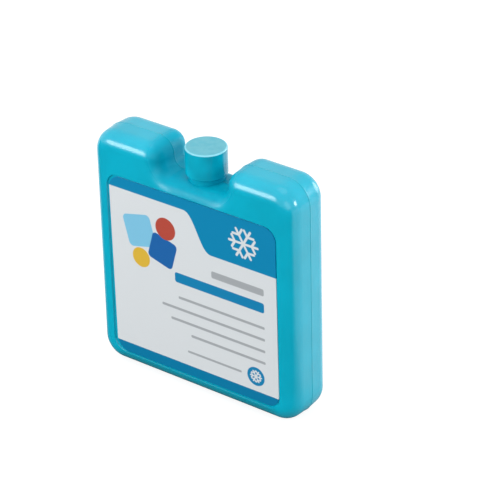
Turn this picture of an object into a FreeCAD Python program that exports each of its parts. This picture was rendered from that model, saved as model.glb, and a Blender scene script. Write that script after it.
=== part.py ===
import FreeCAD, Part
import math
import os
import Sketcher
from FreeCAD import Vector

# Reusable ice brick, blow-moulded in two halves and filled with freezing gel.
# It stands on its lower edge: X is its width, Y its thickness, and Z points up.
# The origin is at the middle of the lower edge, and the labelled face looks along -Y.

# Driving dimensions, in millimetres and degrees
SIZES = {
    # The brick's outline seen from the front, at the plane where the mould halves part
    "width": 70.0,
    "shoulder_height": 74.5,
    "thickness": 16.5,
    "corner_radius": 7.2,
    # Each mould half draws off along Y, so every side leans in towards both faces
    "mould_draft": 3.0,
    "edge_radius": 4.6,
    # The flat foot, where the ridge of the parting line is trimmed off below
    "foot_width": 7.6,
    # The notch in the top edge, which the cap stands in. Its side is a convex arc at the top,
    # a short straight wall, and a concave arc down to the floor with what height is left
    "notch_width": 22.6,
    "notch_depth": 8.4,
    "notch_top_radius": 4.8,
    "notch_wall_height": 0.4,
    # The shallow label panel in each face, with sloping walls. A flat ledge is left at its
    # sides, and it laps a little into the soft edges at the foot and under the notch
    "panel_ledge": 0.65,
    "panel_foot_lap": 0.5,
    "panel_notch_lap": 1.1,
    "panel_corner_radius": 4.4,
    "panel_depth": 0.5,
    "panel_wall_slope": 25.0,
    # The round collar on the notch's floor that the cap's skirt stands on
    "seat_rise": 1.25,
    "seat_inset": 0.75,
    # The cap, a cup pushed down over the filler neck
    "cap_diameter": 11.9,
    "cap_height": 8.25,
    "cap_wall": 1.2,
    "cap_roof": 1.5,
    "cap_edge_radius": 0.45,
    "cap_foot_chamfer": 0.4,
    "cap_clearance": 0.05,
    "neck_tip_chamfer": 0.4,
    # The printed card in the front panel, laid in by hand and so a little off true
    "label_side_gap": 0.75,
    "label_end_gap": 0.55,
    "label_thickness": 0.25,
    "label_corner_radius": 4.0,
    "label_shift": 0.2,
    "label_turn": 0.35,
}

# What follows from the driving dimensions, as expressions on the sheet's cells
side = "sizes.width / 2"
face = "sizes.thickness / 2"
notch_side = "sizes.notch_width / 2"
notch_floor = "(sizes.shoulder_height - sizes.notch_depth)"
notch_root_radius = "(sizes.notch_depth - sizes.notch_wall_height - sizes.notch_top_radius)"
draft = "(sizes.mould_draft * 1 deg)"
edge_reach = f"(({face} - sizes.edge_radius) * tan{draft} + sizes.edge_radius / cos{draft})"
ridge = f"(sizes.foot_width / 2 * tan{draft})"
panel_floor = f"({face} - sizes.panel_depth)"
panel_side = f"({side} - {edge_reach} - sizes.panel_ledge)"
panel_bottom = f"({edge_reach} - {ridge} - sizes.panel_foot_lap)"
panel_top = f"({notch_floor} - {edge_reach} + sizes.panel_notch_lap)"
seat_height = f"({notch_floor} + sizes.seat_rise)"
seat_radius = "(sizes.cap_diameter / 2 - sizes.seat_inset)"
cap_top = f"({seat_height} + sizes.cap_height)"
cap_ceiling = f"({cap_top} - sizes.cap_roof)"
cap_radius = "sizes.cap_diameter / 2"
cap_bore_radius = f"({cap_radius} - sizes.cap_wall)"
neck_radius = f"({cap_bore_radius} - sizes.cap_clearance)"
label_side = f"({panel_side} - sizes.label_side_gap)"
label_end = f"(({panel_top} - {panel_bottom}) / 2 - sizes.label_end_gap)"

doc = FreeCAD.newDocument("ice_brick")
sheet = doc.addObject("Spreadsheet::Sheet", "sizes")
for row, (alias, value) in enumerate(SIZES.items(), start=1):
    sheet.set(f"A{row}", alias)
    sheet.set(f"B{row}", str(value))
    sheet.setAlias(f"B{row}", alias)
doc.recompute()


def number(expression):
    """The present value of an expression on the sheet's cells."""
    return float(sheet.evalExpression(expression))


def new_body(name):
    body = doc.addObject("PartDesign::Body", name)
    body.Label = name
    return body


def origin_plane(body, role):
    return next(part for part in body.Origin.OriginFeatures if part.Role == role)


def front_sketch(body, name, forward=None, right=None, up=None, turn=None):
    """A sketch seen from the front: its x is X, its y is Z and its normal is -Y.

    The expressions move it forward, right and up, and turn it.
    """
    sketch = body.newObject("Sketcher::SketchObject", name)
    sketch.AttachmentSupport = [(origin_plane(body, "XZ_Plane"), "")]
    sketch.MapMode = "FlatFace"
    moves = {"Base.x": right, "Base.y": up, "Base.z": forward, "Rotation.Angle": turn}
    for path, expression in moves.items():
        if expression:
            sketch.setExpression(f".AttachmentOffset.{path}", expression)
    return sketch


def bind(sketch, expression, kind, *geometry):
    """Add a dimension that takes its value from the sheet."""
    index = sketch.addConstraint(Sketcher.Constraint(kind, *geometry, number(expression)))
    sketch.setExpression(f"Constraints[{index}]", expression)


def angle_of(direction):
    return math.atan2(direction.y, direction.x)


def round_corner(sketch, corner, before, after, came, goes, radius):
    """An arc at a corner that the loop comes to along came and leaves along goes."""
    reach = number(radius)
    centre = corner - came * reach + goes * reach
    turns_left = came.cross(goes).z > 0
    first = angle_of(-goes)
    last = angle_of(came)
    if not turns_left:
        first, last = last, first
    circle = Part.Circle(centre, Vector(0, 0, 1), reach)
    arc = sketch.addGeometry(Part.ArcOfCircle(circle, first, last))
    start, end = (1, 2) if turns_left else (2, 1)
    sketch.addConstraint(Sketcher.Constraint("Tangent", before, 2, arc, start))
    sketch.addConstraint(Sketcher.Constraint("Tangent", arc, end, after, 1))
    bind(sketch, radius, "Radius", arc)


def place_line(sketch, line, level, expression):
    """Fix a level line's height, or an upright line's distance from the middle."""
    sketch.addConstraint(Sketcher.Constraint("Horizontal" if level else "Vertical", line))
    kind = "DistanceY" if level else "DistanceX"
    if expression == "0":
        axis = -1 if level else -2
        sketch.addConstraint(Sketcher.Constraint("PointOnObject", line, 1, axis))
    elif expression.startswith("-"):
        bind(sketch, expression[1:], kind, line, 1, -1, 1)
    else:
        bind(sketch, expression, kind, -1, 1, line, 1)


def draw_loop(sketch, corners):
    """Draw a closed loop of level and upright lines, its corners listed anticlockwise.

    A corner is (x, y, radius), each an expression. A radius of None leaves it sharp.
    """
    count = len(corners)
    places = [Vector(number(x), number(y), 0) for x, y, radius in corners]
    radii = [number(radius) if radius else 0.0 for x, y, radius in corners]
    headings = []
    lines = []
    for i, place in enumerate(places):
        after = (i + 1) % count
        heading = (places[after] - place).normalize()
        start = place + heading * radii[i]
        end = places[after] - heading * radii[after]
        headings.append(heading)
        lines.append(sketch.addGeometry(Part.LineSegment(start, end)))
    for i, (x, y, radius) in enumerate(corners):
        if radius:
            came = headings[i - 1]
            round_corner(sketch, places[i], lines[i - 1], lines[i], came, headings[i], radius)
        else:
            joint = Sketcher.Constraint("Coincident", lines[i - 1], 2, lines[i], 1)
            sketch.addConstraint(joint)
    for i, (x, y, radius) in enumerate(corners):
        level = abs(headings[i].y) < 0.5
        place_line(sketch, lines[i], level, y if level else x)


def draw_rectangle(sketch, right, bottom, top, radius):
    """Draw a rectangle with rounded corners, as wide to the left as to the right."""
    left = f"-{right}"
    corners = [(left, bottom), (right, bottom), (right, top), (left, top)]
    draw_loop(sketch, [(x, y, radius) for x, y in corners])


def extrude(body, kind, sketch, name, length):
    """A pad or a pocket of that length."""
    feature = body.newObject(f"PartDesign::{kind}", name)
    feature.Profile = sketch
    feature.setExpression("Length", length)
    return feature


def turn_about_z(body, sketch, name):
    feature = body.newObject("PartDesign::Revolution", name)
    feature.Profile = sketch
    feature.ReferenceAxis = (sketch, ["V_Axis"])
    feature.Angle = 360.0
    doc.recompute()
    return feature


def dress(body, kind, name, base, picks, size, expression):
    """A fillet or a chamfer on the edges of base that picks(edge) is true for."""
    names = [f"Edge{i}" for i, edge in enumerate(base.Shape.Edges, start=1) if picks(edge)]
    if not names:
        raise RuntimeError(f"{name} found no edge")
    feature = body.newObject(f"PartDesign::{kind}", name)
    feature.Base = (base, names)
    feature.setExpression(size, expression)
    doc.recompute()
    return feature


def near(value, target):
    return abs(value - target) < 1e-4


def on_a_face(edge):
    """True where the whole edge lies in the brick's front or back face."""
    box = edge.BoundBox
    return near(box.YMin, box.YMax) and near(abs(box.YMin), number(face))


def ring(radius, height):
    """A test for the level circle about Z with that radius and height."""

    def picks(edge):
        box = edge.BoundBox
        level = near(box.ZMin, number(height)) and near(box.ZMax, number(height))
        return level and near(box.XMax, number(radius))

    return picks


# The brick, shell and filling in one: two drafted halves that meet at y = 0
brick = new_body("brick_body")
outline = front_sketch(brick, "outline")
draw_loop(
    outline,
    [
        (f"-{side}", f"-{ridge}", "sizes.corner_radius"),
        (side, f"-{ridge}", "sizes.corner_radius"),
        (side, "sizes.shoulder_height", "sizes.corner_radius"),
        (notch_side, "sizes.shoulder_height", "sizes.notch_top_radius"),
        (notch_side, notch_floor, notch_root_radius),
        (f"-{notch_side}", notch_floor, notch_root_radius),
        (f"-{notch_side}", "sizes.shoulder_height", "sizes.notch_top_radius"),
        (f"-{side}", "sizes.shoulder_height", "sizes.corner_radius"),
    ],
)
halves = extrude(brick, "Pad", outline, "mould_halves", face)
halves.SideType = "Two sides"
halves.setExpression("Length2", face)
halves.setExpression("TaperAngle", "-sizes.mould_draft")
halves.setExpression("TaperAngle2", "-sizes.mould_draft")
doc.recompute()
soft_edges = dress(
    brick, "Fillet", "soft_edges", halves, on_a_face, "Radius", "sizes.edge_radius"
)

# The foot: the lower ridge is trimmed level, so that the brick stands up
below_foot = front_sketch(brick, "below_foot")
draw_loop(
    below_foot,
    [
        (f"-{side}", "-sizes.edge_radius", None),
        (side, "-sizes.edge_radius", None),
        (side, "0", None),
        (f"-{side}", "0", None),
    ],
)
foot = extrude(brick, "Pocket", below_foot, "foot", "sizes.thickness")
foot.SideType = "Symmetric"
doc.recompute()

# A shallow panel in the front face, and the same in the back one
panel_outline = front_sketch(brick, "panel_outline", forward=face)
draw_rectangle(panel_outline, panel_side, panel_bottom, panel_top, "sizes.panel_corner_radius")
front_panel = extrude(brick, "Pocket", panel_outline, "front_panel", "sizes.panel_depth")
front_panel.setExpression("TaperAngle", "-sizes.panel_wall_slope")
doc.recompute()
if front_panel.Shape.Volume > foot.Shape.Volume - 1:
    raise RuntimeError("the panel cuts nothing")
back_panel = brick.newObject("PartDesign::Mirrored", "back_panel")
back_panel.Originals = [front_panel]
back_panel.MirrorPlane = (origin_plane(brick, "XZ_Plane"), [""])
brick.Tip = back_panel
doc.recompute()

# The seat and the filler neck, turned about Z, with their foot sunk in the brick
neck_profile = front_sketch(brick, "neck_profile")
neck_foot = f"({notch_floor} - sizes.edge_radius)"
draw_loop(
    neck_profile,
    [
        ("0", neck_foot, None),
        (seat_radius, neck_foot, None),
        (seat_radius, seat_height, None),
        (neck_radius, seat_height, None),
        (neck_radius, cap_ceiling, None),
        ("0", cap_ceiling, None),
    ],
)
neck = turn_about_z(brick, neck_profile, "filler_neck")
tip_ring = ring(neck_radius, cap_ceiling)
dress(brick, "Chamfer", "neck_tip", neck, tip_ring, "Size", "sizes.neck_tip_chamfer")

# The cap: its roof rests on the neck and its skirt on the seat
cap = new_body("filler_cap")
cap_profile = front_sketch(cap, "cap_profile")
draw_loop(
    cap_profile,
    [
        ("0", cap_ceiling, None),
        (cap_bore_radius, cap_ceiling, None),
        (cap_bore_radius, seat_height, None),
        (cap_radius, seat_height, None),
        (cap_radius, cap_top, None),
        ("0", cap_top, None),
    ],
)
cup = turn_about_z(cap, cap_profile, "cup")
top_ring = ring(cap_radius, cap_top)
soft_cup = dress(cap, "Fillet", "cap_edge", cup, top_ring, "Radius", "sizes.cap_edge_radius")
foot_ring = ring(cap_radius, seat_height)
dress(cap, "Chamfer", "cap_foot", soft_cup, foot_ring, "Size", "sizes.cap_foot_chamfer")

# The label: a card on the floor of the front panel
label = new_body("front_label")
label_outline = front_sketch(
    label,
    "label_outline",
    forward=panel_floor,
    right="sizes.label_shift",
    up=f"({panel_bottom} + {panel_top}) / 2",
    turn="sizes.label_turn",
)
label_low = f"-{label_end}"
draw_rectangle(label_outline, label_side, label_low, label_end, "sizes.label_corner_radius")
extrude(label, "Pad", label_outline, "card", "sizes.label_thickness")

doc.recompute()
for item in doc.Objects:
    if "Invalid" in item.State or "Error" in item.State:
        raise RuntimeError(f"{item.Name} failed")
os.makedirs("parts", exist_ok=True)
for body in (brick, cap, label):
    if body.Shape.isNull() or not body.Shape.isValid():
        raise RuntimeError(f"{body.Label} has no valid shape")
    body.Shape.exportStep(f"parts/{body.Label}.step")
    print(body.Label, round(body.Shape.Volume, 1), "mm3")
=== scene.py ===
import math

import bpy
import numpy as np
from bpy.props import FloatProperty, FloatVectorProperty, PointerProperty
from mathutils import Matrix, Vector


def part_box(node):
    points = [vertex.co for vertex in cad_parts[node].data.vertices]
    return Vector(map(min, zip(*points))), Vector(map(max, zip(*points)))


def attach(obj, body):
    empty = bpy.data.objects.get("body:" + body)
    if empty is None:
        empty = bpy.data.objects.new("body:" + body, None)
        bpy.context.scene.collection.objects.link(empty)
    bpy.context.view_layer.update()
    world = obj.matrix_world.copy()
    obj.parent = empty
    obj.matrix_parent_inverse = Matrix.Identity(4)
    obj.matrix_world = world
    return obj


bl_info = {
    "name": "Ice brick looks",
    "version": (1, 0, 0),
    "blender": (4, 5, 0),
    "location": "3D View > Sidebar > Ice brick",
    "description": "Dresses the packed ice brick in its plastic, print and parting line",
    "category": "Object",
}

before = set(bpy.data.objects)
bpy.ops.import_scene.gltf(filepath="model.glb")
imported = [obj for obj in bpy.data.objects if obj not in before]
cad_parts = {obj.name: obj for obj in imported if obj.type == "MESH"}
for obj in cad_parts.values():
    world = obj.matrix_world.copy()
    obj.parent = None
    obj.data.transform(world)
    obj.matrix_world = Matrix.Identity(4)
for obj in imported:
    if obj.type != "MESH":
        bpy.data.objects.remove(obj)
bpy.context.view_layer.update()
BRICK_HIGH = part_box("brick_body")[1]
CAP_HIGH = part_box("filler_cap")[1]
CARD_LOW, CARD_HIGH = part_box("front_label")
MM = 0.001


def linear(hex_colour):
    """The linear values of an sRGB colour written as six hex digits."""
    channels = [int(hex_colour[i : i + 2], 16) / 255 for i in (0, 2, 4)]
    return [c / 12.92 if c <= 0.04045 else ((c + 0.055) / 1.055) ** 2.4 for c in channels]


def colour(name, description, hex_colour):
    return FloatVectorProperty(
        name=name,
        description=description,
        subtype="COLOR",
        size=3,
        min=0.0,
        max=1.0,
        default=linear(hex_colour),
    )


def measure(name, description, value, unit="NONE"):
    return FloatProperty(name=name, description=description, unit=unit, default=value)


class MouldedPlastic(bpy.types.PropertyGroup):
    """The blown shell and the pressed-on cap."""

    shell_colour: colour("Shell", "Teal of the shell where its wall is thick", "00A7C1")
    shell_thin: colour("Thin wall", "Teal of the shell where its wall blew thin", "00AEC9")
    # Painted shade: the shell's teal darkened round the neck, where the notch lies in shade
    shell_neck_shade: colour("Neck", "Teal of the shell round the neck, its thickest wall", "009DB8")
    # Painted shade: the deepest teal, laid along the foot
    shell_foot_shade: colour("Foot", "Deepest teal, where the mould pinched the tube off", "0093A8")
    # Painted shade: the cap's teal is darker than the shell's
    cap_shaded_teal: colour("Cap", "Teal of the moulded cap", "008EA6")
    # Painted sheen: the cap's roof painted paler than its sides, broken by specks
    cap_roof_sheen: colour("Cap roof", "Paler teal of the cap's scuffed roof", "6AB4C3")
    # Painted highlight: the palest teal, in a ring along the cap roof's rim
    cap_rim_highlight: colour("Cap rim", "Palest teal, where the roof's rim is rubbed", "86CEDD")
    gloss: measure("Gloss", "Roughness off a polished mould", 0.2)
    satin: measure("Satin", "Roughness off the blasted insert round the neck", 0.34)


class PartingLine(bpy.types.PropertyGroup):
    """The outline at mid-thickness, where the two mould halves meet, and its bead."""

    half_width: measure("Half width", "From the middle to the side", BRICK_HIGH.x, "LENGTH")
    shoulder: measure("Shoulder", "Height of the top edge", 74.5 * MM, "LENGTH")
    ridge: measure("Ridge", "How far the outline would pass below the foot", 0.199 * MM, "LENGTH")
    corner: measure("Corner", "Radius of the outer corners", 7.2 * MM, "LENGTH")
    notch_half: measure("Notch half width", "From the middle to its wall", 11.3 * MM, "LENGTH")
    notch_floor: measure("Notch floor", "Height of the notch's floor", 66.1 * MM, "LENGTH")
    notch_top: measure("Notch top", "Radius of the notch's convex arc", 4.8 * MM, "LENGTH")
    notch_root: measure("Notch root", "Radius of the notch's concave arc", 3.2 * MM, "LENGTH")
    collar: measure("Collar", "Radius at which the bead meets the collar", 5.1 * MM, "LENGTH")
    bead_width: measure("Bead width", "Across the parting plane", 0.5 * MM, "LENGTH")
    bead_height: measure("Bead height", "How far the bead stands proud", 0.06 * MM, "LENGTH")


class PrintedCard(bpy.types.PropertyGroup):
    """The inks on the label card."""

    stock: colour("Stock", "White of the coated card", "D6DBDE")
    header: colour("Header", "Blue of the header and its tab", "0083B1")
    band: colour("Band", "Blue of the band along the foot", "0078A4")
    title: colour("Title", "Blue of the thick bar and the badge", "0F7FB0")
    rule: colour("Rules", "Grey of the short bar and the thin rules", "A3A8AC")
    ice: colour("Ice", "Pale blue of the large square", "7CC0DE")
    deep: colour("Deep blue", "Blue of the smaller square", "1C62A6")
    red: colour("Red", "Red of the upper disc", "B34A3C")
    yellow: colour("Yellow", "Yellow of the lower disc", "D9B23C")
    turn: measure("Turn", "How far off true the card lies", math.radians(0.35), "ROTATION")


class Studio(bpy.types.PropertyGroup):
    """Which way the camera looks, and how strong the lights are."""

    azimuth: measure(
        "Azimuth", "From the front round to the right", math.radians(37.44), "ROTATION"
    )
    elevation: measure("Elevation", "Above the level", math.radians(30.16), "ROTATION")
    roll: measure("Roll", "How far the camera leans clockwise", math.radians(1.43), "ROTATION")
    focal: measure("Focal length", "On a sensor 36 mm wide", 195.66, "CAMERA")
    ambient: measure("Ambient", "Strength of the white room on matt surfaces", 0.8)
    key: measure("Key", "The lamp at the front left", 2.7, "POWER")
    fill: measure("Fill", "The lamp at the right", 1.7, "POWER")
    top: measure("Top", "The broad lamp overhead", 1.8, "POWER")
    back: measure("Back", "The lamp behind on the right", 2.0, "POWER")
    front: measure("Front", "The broad lamp at the front right", 1.2, "POWER")


def add(tree, kind, inputs=None, out=None, **settings):
    """Add one shader node, give it its settings, and fill or link its inputs.

    It gives back the node's output of the name out, or the node itself.
    """
    made = tree.nodes.new(kind)
    for name, value in settings.items():
        setattr(made, name, value)
    for name, value in (inputs or {}).items():
        if isinstance(value, bpy.types.NodeSocket):
            tree.links.new(value, made.inputs[name])
        else:
            made.inputs[name].default_value = value
    return made.outputs[out] if out else made


def rgba(values):
    return (*values, 1.0)


def new_material(name):
    """An empty material, and its node tree."""
    material = bpy.data.materials.new(name)
    material.use_nodes = True
    material.node_tree.nodes.clear()
    return material, material.node_tree


def dress(obj, material):
    obj.data.materials.clear()
    obj.data.materials.append(material)


def paint(tree, tone, layers):
    """Lay colours over a tone one after another, each where its mask is one."""
    for values, mask in layers:
        tone = add(
            tree,
            "ShaderNodeMix",
            {"Factor": mask, "A": tone, "B": rgba(values)},
            "Result",
            data_type="RGBA",
        )
    return tone


# Crest to crest of the patterns in the plastic
WALL_PATCH = 12 * MM
SPECK_SIZE = 2 * MM
ORANGE_PEEL = 1.3 * MM
PEEL_DEPTH = 0.006 * MM

# Where the painted rim highlight lies in the egg region, as a share of the region's reach
RIM_AT = 0.93
RIM_CORE = 0.03
RIM_FADE = 0.09

# The painted shade along the foot: full up to and out to the first length, none past the second
FOOT_HEIGHT = (3 * MM, 6.2 * MM)
FOOT_HALF_LENGTH = (24 * MM, 32 * MM)


def thin_wall(tree, place):
    """One where the wall blew thin, zero where it is thick, in patches 12 mm across."""
    patches = add(
        tree,
        "ShaderNodeTexNoise",
        {"Vector": place, "Scale": 1 / WALL_PATCH, "Detail": 2.0},
        "Fac",
    )
    return add(
        tree,
        "ShaderNodeMapRange",
        {"Value": patches, "From Min": 0.35, "From Max": 0.65},
        "Result",
    )


def egg_region(tree, place, centre, reach):
    """How far out a point lies in an egg, and a mask that is one inside the egg.

    The place is set against the centre and divided by the reach along X, Y and Z, and
    its length is zero at the centre and one at the reach. The mask fades from 0.8 to 1.1.
    """
    egg = add(
        tree,
        "ShaderNodeMapping",
        {"Vector": place, "Location": centre, "Scale": reach},
        "Vector",
        vector_type="TEXTURE",
    )
    depth = add(tree, "ShaderNodeVectorMath", {0: egg}, "Value", operation="LENGTH")
    inside = add(
        tree,
        "ShaderNodeMapRange",
        {"Value": depth, "From Min": 0.8, "From Max": 1.1, "To Min": 1.0, "To Max": 0.0},
        "Result",
        interpolation_type="SMOOTHSTEP",
    )
    return depth, inside


def speckled(tree, place, inside):
    """The egg region's mask, weakened to 0.8 here and there in specks of 2 mm."""
    specks = add(
        tree,
        "ShaderNodeTexNoise",
        {"Vector": place, "Scale": 1 / SPECK_SIZE, "Detail": 2.0},
        "Fac",
    )
    strength = add(
        tree,
        "ShaderNodeMapRange",
        {"Value": specks, "From Min": 0.3, "From Max": 0.6, "To Min": 0.8},
        "Result",
    )
    return add(tree, "ShaderNodeMath", {0: inside, 1: strength}, "Value", operation="MULTIPLY")


def rim_highlight_mask(tree, depth):
    """Painted highlight: one along the egg region's border, fading out to both sides of it."""
    past = add(tree, "ShaderNodeMath", {0: depth, 1: RIM_AT}, "Value", operation="SUBTRACT")
    off = add(tree, "ShaderNodeMath", {0: past}, "Value", operation="ABSOLUTE")
    return add(
        tree,
        "ShaderNodeMapRange",
        {
            "Value": off,
            "From Min": RIM_CORE,
            "From Max": RIM_FADE,
            "To Min": 1.0,
            "To Max": 0.0,
        },
        "Result",
        interpolation_type="SMOOTHSTEP",
    )


def foot_shade_mask(tree, place):
    """Painted shade along the foot: one at the foot, zero higher up and at the corners.

    It is a falling ramp of the height, times a falling ramp of the distance to the
    middle.
    """
    parts = add(tree, "ShaderNodeSeparateXYZ", {"Vector": place})
    aside = add(
        tree, "ShaderNodeMath", {0: parts.outputs["X"]}, "Value", operation="ABSOLUTE"
    )
    low, between = (
        add(
            tree,
            "ShaderNodeMapRange",
            {
                "Value": distance,
                "From Min": full,
                "From Max": none,
                "To Min": 1.0,
                "To Max": 0.0,
            },
            "Result",
            interpolation_type="SMOOTHSTEP",
        )
        for distance, (full, none) in (
            (parts.outputs["Z"], FOOT_HEIGHT),
            (aside, FOOT_HALF_LENGTH),
        )
    )
    return add(tree, "ShaderNodeMath", {0: low, 1: between}, "Value", operation="MULTIPLY")


def moulded_polyethylene(
    name, thick, thin, painted_tone, plastic, centre, reach, rim=None, foot=None
):
    """High-density polyethylene off a polished mould.

    It is waxy and a little translucent, with a soft gloss. Its wall came out thicker and
    thinner in patches, which shifts the teal slightly, and its skin has the faint orange
    peel of cooled plastic. One egg-shaped region, given by its centre and its reach, is
    satin, off a blasted insert of the mould round the shell's neck and scuffed on the
    cap's roof, and is painted in a tone of its own broken by specks: painted shade round
    the neck, painted sheen on the roof. A rim colour along that region's border is a
    painted highlight, and a foot colour darkens the foot as painted shade.
    """
    material, tree = new_material(name)
    place = add(tree, "ShaderNodeTexCoord", out="Object")
    depth, inside = egg_region(tree, place, centre, reach)
    layers = [(thin, thin_wall(tree, place)), (painted_tone, speckled(tree, place, inside))]
    if rim is not None:
        layers.append((rim, rim_highlight_mask(tree, depth)))
    if foot is not None:
        layers.append((foot, foot_shade_mask(tree, place)))
    finish = add(
        tree,
        "ShaderNodeMapRange",
        {"Value": inside, "To Min": plastic.gloss, "To Max": plastic.satin},
        "Result",
    )
    sheen = add(
        tree, "ShaderNodeMapRange", {"Value": inside, "To Min": 0.5, "To Max": 0.1}, "Result"
    )
    peel = add(
        tree,
        "ShaderNodeTexNoise",
        {"Vector": place, "Scale": 1 / ORANGE_PEEL, "Detail": 1.0},
        "Fac",
    )
    skin = add(
        tree,
        "ShaderNodeBump",
        {"Height": peel, "Strength": 0.35, "Distance": PEEL_DEPTH},
        "Normal",
    )
    shader = add(
        tree,
        "ShaderNodeBsdfPrincipled",
        {
            "Base Color": paint(tree, rgba(thick), layers),
            "Roughness": finish,
            "IOR": 1.54,
            "Specular IOR Level": sheen,
            "Normal": skin,
            "Subsurface Weight": 0.15,
            "Subsurface Radius": (0.3, 0.8, 1.0),
            "Subsurface Scale": 1.5 * MM,
        },
        "BSDF",
    )
    add(tree, "ShaderNodeOutputMaterial", {"Surface": shader})
    return material


# The print, in millimetres from the card's centre

# Half the width of the blur along the edge of an ink
INK_EDGE = 0.08

# The fields of colour: ink, middle, half size, corner radius, and turn in degrees
CARD_FIELDS = [
    ("band", (0.0, -27.8), (40.0, 2.4), 0.5, 0.0),
    ("ice", (-18.6, 13.6), (5.0, 5.0), 1.5, 14.0),
    ("deep", (-10.6, 9.6), (4.4, 4.4), 1.3, -16.0),
    ("red", (-9.2, 17.0), (3.5, 3.5), 3.5, 0.0),
    ("yellow", (-18.4, 5.0), (3.1, 3.1), 3.1, 0.0),
    ("rule", (15.5, 7.6), (9.0, 1.1), 0.5, 0.0),
    ("title", (9.0, 2.6), (15.5, 1.6), 0.7, 0.0),
    ("rule", (9.5, -3.8), (15.0, 0.42), 0.3, 0.0),
    ("rule", (6.5, -7.6), (18.0, 0.42), 0.3, 0.0),
    ("rule", (8.0, -11.4), (16.5, 0.42), 0.3, 0.0),
    ("rule", (11.5, -15.2), (13.0, 0.42), 0.3, 0.0),
    ("title", (21.0, -20.6), (3.0, 3.0), 3.0, 0.0),
    ("rule", (6.5, -20.8), (9.5, 0.36), 0.3, 0.0),
]

# The snow crystals: middle, length of an arm, and width of its stroke
CARD_FLAKES = [
    ((18.0, 21.0), 5.2, 0.75),
    ((21.0, -20.6), 2.1, 0.45),
]

# The header's lower edge steps down into the tab between these two corners
HEADER_CORNER = (-3.0, 25.2)
TAB_CORNER = (7.0, 13.6)

# The waves in the card
COCKLE = 14 * MM
COCKLE_DEPTH = 0.2 * MM


def field(tree, point, centre, half, radius, turn=0.0):
    """One inside a rounded rectangle of ink and zero outside it.

    The point is folded into one quarter, the straight part is taken off, and what is
    left is the distance to the corner's centre, which is set against the radius.
    """
    placed = add(
        tree,
        "ShaderNodeMapping",
        {
            "Vector": point,
            "Location": (centre[0], 0.0, centre[1]),
            "Rotation": (0.0, -turn, 0.0),
        },
        "Vector",
        vector_type="TEXTURE",
    )
    folded = add(tree, "ShaderNodeVectorMath", {0: placed}, "Vector", operation="ABSOLUTE")
    past = add(
        tree,
        "ShaderNodeVectorMath",
        {0: folded, 1: (half[0] - radius, 0.0, half[1] - radius)},
        "Vector",
        operation="SUBTRACT",
    )
    outside = add(
        tree,
        "ShaderNodeVectorMath",
        {0: past, 1: (0.0, 0.0, 0.0)},
        "Vector",
        operation="MAXIMUM",
    )
    distance = add(tree, "ShaderNodeVectorMath", {0: outside}, "Value", operation="LENGTH")
    return add(
        tree,
        "ShaderNodeMapRange",
        {
            "Value": distance,
            "From Min": radius - INK_EDGE,
            "From Max": radius + INK_EDGE,
            "To Min": 1.0,
            "To Max": 0.0,
        },
        "Result",
    )


def six_fold(tree, point, centre):
    """The point as seen from the nearest of six arms, with the arm along X.

    Its angle is wrapped into 60 degrees about the arm, and its distance is kept.
    """
    moved = add(
        tree,
        "ShaderNodeVectorMath",
        {0: point, 1: (centre[0], 0.0, centre[1])},
        "Vector",
        operation="SUBTRACT",
    )
    parts = add(tree, "ShaderNodeSeparateXYZ", {"Vector": moved})
    angle = add(
        tree,
        "ShaderNodeMath",
        {0: parts.outputs["Z"], 1: parts.outputs["X"]},
        "Value",
        operation="ARCTAN2",
    )
    wrapped = add(
        tree,
        "ShaderNodeMath",
        {0: angle, 1: math.pi / 6, 2: -math.pi / 6},
        "Value",
        operation="WRAP",
    )
    reach = add(tree, "ShaderNodeVectorMath", {0: moved}, "Value", operation="LENGTH")
    along = add(tree, "ShaderNodeMath", {0: wrapped}, "Value", operation="COSINE")
    across = add(tree, "ShaderNodeMath", {0: wrapped}, "Value", operation="SINE")
    side = add(tree, "ShaderNodeMath", {0: across}, "Value", operation="ABSOLUTE")
    unit = add(tree, "ShaderNodeCombineXYZ", {"X": along, "Z": side}, "Vector")
    return add(
        tree,
        "ShaderNodeVectorMath",
        {0: unit, "Scale": reach},
        "Vector",
        operation="SCALE",
    )


def flake(tree, point, centre, arm, stroke):
    """A plain six-armed snow crystal: an arm and one pair of twigs, six times over.

    A twig leaves its arm at 55 % of the arm's length, at 60 degrees, and is 40 % as long.
    """
    near = six_fold(tree, point, centre)
    half = stroke / 2
    lean = math.pi / 3
    spine = field(tree, near, (arm / 2, 0.0), (arm / 2, half), half)
    twig = arm * 0.2
    middle = (arm * 0.55 + twig * math.cos(lean), twig * math.sin(lean))
    side = field(tree, near, middle, (twig + half, half), half, lean)
    return add(tree, "ShaderNodeMath", {0: spine, 1: side}, "Value", operation="MAXIMUM")


def header_and_tab(tree, point):
    """One above a line that runs level, steps down in an S-curve and runs level again."""
    parts = add(tree, "ShaderNodeSeparateXYZ", {"Vector": point})
    edge = add(
        tree,
        "ShaderNodeMapRange",
        {
            "Value": parts.outputs["X"],
            "From Min": HEADER_CORNER[0],
            "From Max": TAB_CORNER[0],
            "To Min": HEADER_CORNER[1],
            "To Max": TAB_CORNER[1],
        },
        "Result",
        interpolation_type="SMOOTHERSTEP",
    )
    above = add(
        tree, "ShaderNodeMath", {0: parts.outputs["Z"], 1: edge}, "Value", operation="SUBTRACT"
    )
    return add(
        tree,
        "ShaderNodeMapRange",
        {"Value": above, "From Min": -INK_EDGE, "From Max": INK_EDGE},
        "Result",
    )


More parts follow.
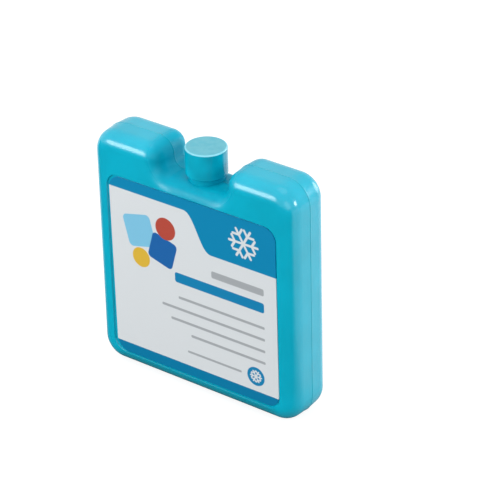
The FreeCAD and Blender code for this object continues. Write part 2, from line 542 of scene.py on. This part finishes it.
def printed_card(inks):
    """Coated card printed in flat inks, under a thin satin film.

    The film gives an even soft sheen, and the card has cockled into waves about 14 mm
    long. The print is a header with a deep tab at its right, a group of plain round and
    square shapes, bars and thin rules, a badge with a snow crystal, and a foot band.
    """
    material, tree = new_material("coated_card_under_satin_film")
    place = add(tree, "ShaderNodeTexCoord", out="Object")
    middle = (CARD_LOW + CARD_HIGH) / 2
    laid = add(
        tree,
        "ShaderNodeMapping",
        {
            "Vector": place,
            "Location": (middle.x, 0.0, middle.z),
            "Rotation": (0.0, -inks.turn, 0.0),
            "Scale": (MM, MM, MM),
        },
        "Vector",
        vector_type="TEXTURE",
    )
    point = add(
        tree, "ShaderNodeVectorMath", {0: laid, 1: (1.0, 0.0, 1.0)}, "Vector", operation="MULTIPLY"
    )
    layers = [(inks.header, header_and_tab(tree, point))]
    for ink, centre, half, radius, turn in CARD_FIELDS:
        mask = field(tree, point, centre, half, radius, math.radians(turn))
        layers.append((getattr(inks, ink), mask))
    for centre, arm, stroke in CARD_FLAKES:
        layers.append((inks.stock, flake(tree, point, centre, arm, stroke)))
    waves = add(
        tree,
        "ShaderNodeTexNoise",
        {"Vector": place, "Scale": 1 / COCKLE, "Detail": 1.0},
        "Fac",
    )
    cockle = add(
        tree,
        "ShaderNodeBump",
        {"Height": waves, "Strength": 0.5, "Distance": COCKLE_DEPTH},
        "Normal",
    )
    shader = add(
        tree,
        "ShaderNodeBsdfPrincipled",
        {
            "Base Color": paint(tree, rgba(inks.stock), layers),
            "Roughness": 0.28,
            "IOR": 1.49,
            "Normal": cockle,
        },
        "BSDF",
    )
    add(tree, "ShaderNodeOutputMaterial", {"Surface": shader})
    return material


# How finely the bead is drawn, and the length over which each end shrinks
ARC_POINTS = 25
SIDE_POINTS = 60
BEAD_SIDES = 12
BEAD_TAPER = 2 * MM

# Where the outline's lower corner meets the level foot, in degrees below the side
FOOT_ANGLE = -72


def arc(centre, radius, start, end):
    """Points round a circle in the XZ plane, from one angle to another, in degrees."""
    turn = np.radians(np.linspace(start, end, ARC_POINTS))
    return np.stack(
        [centre[0] + radius * np.cos(turn), centre[1] + radius * np.sin(turn)], axis=1
    )


def parting_path(line):
    """The right half of the outline: up the side, over the shoulder, down into the notch.

    Each corner is a quarter of a circle, and straight runs join them.
    """
    x_corner = line.half_width - line.corner
    z_low = line.corner - line.ridge
    z_high = line.shoulder - line.corner
    x_top = line.notch_half + line.notch_top
    z_top = line.shoulder - line.notch_top
    x_root = line.notch_half - line.notch_root
    z_root = line.notch_floor + line.notch_root
    run = np.linspace(z_low, z_high, SIDE_POINTS)[1:-1]
    return np.concatenate(
        [
            arc((x_corner, z_low), line.corner, FOOT_ANGLE, 0),
            np.stack([np.full(run.shape, line.half_width), run], axis=1),
            arc((x_corner, z_high), line.corner, 0, 90),
            arc((x_top, z_top), line.notch_top, 90, 180),
            arc((x_root, z_root), line.notch_root, 0, -90),
            np.array([[line.collar, line.notch_floor]]),
        ]
    )


def bead_mesh(path, width, height, sign):
    """A bead along a path: at each point an ellipse, half of it sunk in the wall.

    It lies across the path, and shrinks to a point over the last 2 mm at both ends. The
    sign is -1 for the bead's mirror image on the left.
    """
    steps = np.diff(path, axis=0)
    travelled = np.concatenate([[0.0], np.cumsum(np.hypot(steps[:, 0], steps[:, 1]))])
    tangent = np.gradient(path, travelled, axis=0)
    tangent /= np.linalg.norm(tangent, axis=1, keepdims=True)
    outward = np.stack([tangent[:, 1], -tangent[:, 0]], axis=1)
    taper = np.minimum(travelled, travelled[-1] - travelled) / BEAD_TAPER
    taper = np.sqrt(np.clip(taper, 0.0, 1.0))
    turn = np.linspace(0, 2 * np.pi, BEAD_SIDES + 1)[:-1]
    rise = (height * np.sin(turn))[None, :] * taper[:, None]
    rings = np.empty((len(path), BEAD_SIDES, 3))
    rings[..., 0] = sign * (path[:, None, 0] + outward[:, None, 0] * rise)
    rings[..., 1] = (width / 2 * np.cos(turn))[None, :] * taper[:, None]
    rings[..., 2] = path[:, None, 1] + outward[:, None, 1] * rise
    body = rings[1:-1]
    ends = np.stack([rings[0].mean(axis=0), rings[-1].mean(axis=0)])
    points = np.concatenate([body.reshape(-1, 3), ends])
    here = np.arange(BEAD_SIDES)
    after = (here + 1) % BEAD_SIDES
    row = np.arange(len(body) - 1)[:, None] * BEAD_SIDES
    quads = np.stack(
        [row + here, row + after, row + BEAD_SIDES + after, row + BEAD_SIDES + here], axis=-1
    )
    last = (len(body) - 1) * BEAD_SIDES
    first_pole, last_pole = len(points) - 2, len(points) - 1
    fans = [
        np.stack([np.full(BEAD_SIDES, first_pole), after, here], axis=-1),
        np.stack([np.full(BEAD_SIDES, last_pole), last + here, last + after], axis=-1),
    ]
    faces = quads.reshape(-1, 4).tolist() + np.concatenate(fans).tolist()
    if sign < 0:
        faces = [face[::-1] for face in faces]
    return points, faces


def new_object(name, points, faces):
    """A mesh object of these points and faces, smooth shaded."""
    mesh = bpy.data.meshes.new(name)
    mesh.from_pydata(points.tolist(), [], faces)
    mesh.shade_smooth()
    obj = bpy.data.objects.new(name, mesh)
    bpy.context.scene.collection.objects.link(obj)
    return obj


class ICEBRICK_OT_shell(bpy.types.Operator):
    """Give the blown brick its teal polyethylene"""

    bl_idname = "icebrick.shell"
    bl_label = "Blown shell"

    def execute(self, context):
        plastic = context.scene.ice_plastic
        dress(
            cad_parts["brick_body"],
            moulded_polyethylene(
                "blown_polyethylene",
                plastic.shell_colour,
                plastic.shell_thin,
                # Painted shade round the neck
                plastic.shell_neck_shade,
                plastic,
                centre=(0.0, 0.0, 71 * MM),
                reach=(17 * MM, 20 * MM, 12 * MM),
                # Painted shade along the foot
                foot=plastic.shell_foot_shade,
            ),
        )
        return {"FINISHED"}


class ICEBRICK_OT_cap(bpy.types.Operator):
    """Give the filler cap its own moulding of the same plastic"""

    bl_idname = "icebrick.cap"
    bl_label = "Filler cap"

    def execute(self, context):
        plastic = context.scene.ice_plastic
        dress(
            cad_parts["filler_cap"],
            moulded_polyethylene(
                "injection_moulded_polyethylene",
                # Painted shade: the cap's darkened teal
                plastic.cap_shaded_teal,
                plastic.shell_thin,
                # Painted sheen on the cap's roof
                plastic.cap_roof_sheen,
                plastic,
                centre=(0.0, 0.0, CAP_HIGH.z),
                reach=(6.4 * MM, 6.4 * MM, 0.9 * MM),
                # Painted highlight along the roof's rim
                rim=plastic.cap_rim_highlight,
            ),
        )
        return {"FINISHED"}


class ICEBRICK_OT_card(bpy.types.Operator):
    """Print the label card"""

    bl_idname = "icebrick.card"
    bl_label = "Printed card"

    def execute(self, context):
        dress(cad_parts["front_label"], printed_card(context.scene.ice_card))
        return {"FINISHED"}


class ICEBRICK_OT_parting_line(bpy.types.Operator):
    """Raise the fine bead that the meeting mould halves leave round the brick"""

    bl_idname = "icebrick.parting_line"
    bl_label = "Parting line"

    def execute(self, context):
        line = context.scene.ice_line
        path = parting_path(line)
        right, right_faces = bead_mesh(path, line.bead_width, line.bead_height, 1)
        left, left_faces = bead_mesh(path, line.bead_width, line.bead_height, -1)
        shifted = [[corner + len(right) for corner in face] for face in left_faces]
        bead = new_object(
            "parting_line", np.concatenate([right, left]), right_faces + shifted
        )
        dress(bead, bpy.data.materials["blown_polyethylene"])
        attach(bead, "root")
        return {"FINISHED"}


# The table is square, 4 m from side to side
TABLE_HALF = 2.0
TABLE_TONE = 0.25
TABLE_GLOW = 0.84

# The board that reflections see: its tone in front, and where it starts and ends to
# brighten, set back from the middle of the brick
BOARD_DARK = 0.03
BOARD_START = -12 * MM
BOARD_END = 22 * MM
BOARD_SLANT = 0.6

CAMERA_PLACE = (0.40790, -0.51418, 0.42367)
LAMP_AIM = (0.0, 0.0, 50 * MM)

# The lamps: direction from the brick, distance in metres, and width and height
LAMPS = {
    "key": ((-0.526, -0.792, 0.287), 0.7, (0.52, 0.28)),
    "fill": ((0.93, 0.13, 0.335), 0.7, (0.2, 0.2)),
    "top": ((0.0, 0.0, 1.0), 1.2, (0.9, 0.9)),
    "back": ((0.4, 0.9, 0.15), 0.8, (0.4, 0.4)),
    "front": ((0.65, -0.7, 0.3), 1.0, (0.6, 0.6)),
}


def studio_floor():
    """A white table that the camera sees as white with a faint shadow.

    A reflection sees white board behind the brick and out to its right, and a dark table
    in front of it: how far back a point lies, plus 0.6 of how far it lies to the right
    of the brick, goes from dark to white over 34 mm.
    """
    low, high = -TABLE_HALF, TABLE_HALF
    square = np.array([[low, low, 0], [high, low, 0], [high, high, 0], [low, high, 0]])
    floor = new_object("studio_floor", square, [[0, 1, 2, 3]])
    material, tree = new_material("matt_white_board")
    place = add(tree, "ShaderNodeTexCoord", out="Object")
    parts = add(tree, "ShaderNodeSeparateXYZ", {"Vector": place})
    right = add(
        tree,
        "ShaderNodeMapRange",
        {
            "Value": parts.outputs["X"],
            "From Min": BRICK_HIGH.x,
            "From Max": BRICK_HIGH.x + TABLE_HALF,
            "To Max": BOARD_SLANT * TABLE_HALF,
        },
        "Result",
    )
    back = add(
        tree, "ShaderNodeMath", {0: parts.outputs["Y"], 1: right}, "Value", operation="ADD"
    )
    shade = add(
        tree,
        "ShaderNodeMapRange",
        {
            "Value": back,
            "From Min": BOARD_START,
            "From Max": BOARD_END,
            "To Min": BOARD_DARK,
        },
        "Result",
    )
    path = add(tree, "ShaderNodeLightPath")
    tone = add(
        tree,
        "ShaderNodeMix",
        {"Factor": path.outputs["Is Glossy Ray"], "A": TABLE_TONE, "B": shade},
        "Result",
        data_type="FLOAT",
    )
    board = add(tree, "ShaderNodeBsdfDiffuse", {"Color": tone}, "BSDF")
    glow = add(
        tree,
        "ShaderNodeMath",
        {0: path.outputs["Is Camera Ray"], 1: TABLE_GLOW},
        "Value",
        operation="MULTIPLY",
    )
    light = add(tree, "ShaderNodeEmission", {"Strength": glow}, "Emission")
    both = add(tree, "ShaderNodeAddShader", {0: board, 1: light}, "Shader")
    add(tree, "ShaderNodeOutputMaterial", {"Surface": both})
    dress(floor, material)


def white_room(ambient):
    """A white world, at full strength where it is seen and reflected."""
    world = bpy.data.worlds.new("white_room")
    world.use_nodes = True
    world.node_tree.nodes.clear()
    bpy.context.scene.world = world
    tree = world.node_tree
    path = add(tree, "ShaderNodeLightPath")
    shiny = add(
        tree,
        "ShaderNodeMath",
        {0: path.outputs["Is Glossy Ray"], 1: path.outputs["Is Transmission Ray"]},
        "Value",
        operation="MAXIMUM",
    )
    seen = add(
        tree,
        "ShaderNodeMath",
        {0: path.outputs["Is Camera Ray"], 1: shiny},
        "Value",
        operation="MAXIMUM",
    )
    strength = add(
        tree,
        "ShaderNodeMapRange",
        {"Value": seen, "To Min": ambient, "To Max": 1.0},
        "Result",
    )
    room = add(
        tree,
        "ShaderNodeBackground",
        {"Color": (1.0, 1.0, 1.0, 1.0), "Strength": strength},
        "Background",
    )
    add(tree, "ShaderNodeOutputWorld", {"Surface": room})


def lamp(name, direction, distance, size, watts):
    """An oval lamp, of that width and height, that shines at the brick's middle."""
    data = bpy.data.lights.new(name, "AREA")
    data.shape = "ELLIPSE"
    data.size, data.size_y = size
    data.energy = watts
    obj = bpy.data.objects.new(name, data)
    away = Vector(direction).normalized()
    obj.location = Vector(LAMP_AIM) + away * distance
    obj.rotation_euler = away.to_track_quat("Z", "Y").to_euler()
    bpy.context.scene.collection.objects.link(obj)


def camera(studio):
    """The camera, turned to its azimuth, tilted down by its elevation, and leaned."""
    data = bpy.data.cameras.new("camera")
    data.sensor_width = 36.0
    data.lens = studio.focal
    obj = bpy.data.objects.new("camera", data)
    turned = Matrix.Rotation(studio.azimuth, 4, "Z")
    tilted = Matrix.Rotation(math.pi / 2 - studio.elevation, 4, "X")
    leaned = Matrix.Rotation(-studio.roll, 4, "Z")
    obj.matrix_world = Matrix.Translation(CAMERA_PLACE) @ turned @ tilted @ leaned
    bpy.context.scene.collection.objects.link(obj)
    bpy.context.scene.camera = obj


class ICEBRICK_OT_studio(bpy.types.Operator):
    """Set up the camera, the white table and room, and the lamps"""

    bl_idname = "icebrick.studio"
    bl_label = "Studio"

    def execute(self, context):
        studio = context.scene.ice_studio
        camera(studio)
        studio_floor()
        white_room(studio.ambient)
        for name, (direction, distance, size) in LAMPS.items():
            lamp(f"{name}_lamp", direction, distance, size, getattr(studio, name))
        context.scene.view_settings.view_transform = "Standard"
        return {"FINISHED"}


class ICEBRICK_PT_panel(bpy.types.Panel):
    """Lists the steps that dress the ice brick"""

    bl_label = "Ice brick"
    bl_space_type = "VIEW_3D"
    bl_region_type = "UI"
    bl_category = "Ice brick"

    def draw(self, context):
        for step in STEPS:
            self.layout.operator(step.bl_idname)


STEPS = (
    ICEBRICK_OT_shell,
    ICEBRICK_OT_cap,
    ICEBRICK_OT_card,
    ICEBRICK_OT_parting_line,
    ICEBRICK_OT_studio,
)
GROUPS = {
    "ice_plastic": MouldedPlastic,
    "ice_line": PartingLine,
    "ice_card": PrintedCard,
    "ice_studio": Studio,
}


def register():
    for kind in (*GROUPS.values(), *STEPS, ICEBRICK_PT_panel):
        bpy.utils.register_class(kind)
    for name, group in GROUPS.items():
        setattr(bpy.types.Scene, name, PointerProperty(type=group))


def unregister():
    for name in GROUPS:
        delattr(bpy.types.Scene, name)
    for kind in (ICEBRICK_PT_panel, *reversed(STEPS), *GROUPS.values()):
        bpy.utils.unregister_class(kind)


def main():
    register()
    bpy.ops.icebrick.shell()
    bpy.ops.icebrick.cap()
    bpy.ops.icebrick.card()
    bpy.ops.icebrick.parting_line()
    bpy.ops.icebrick.studio()


if __name__ == "__main__":
    main()
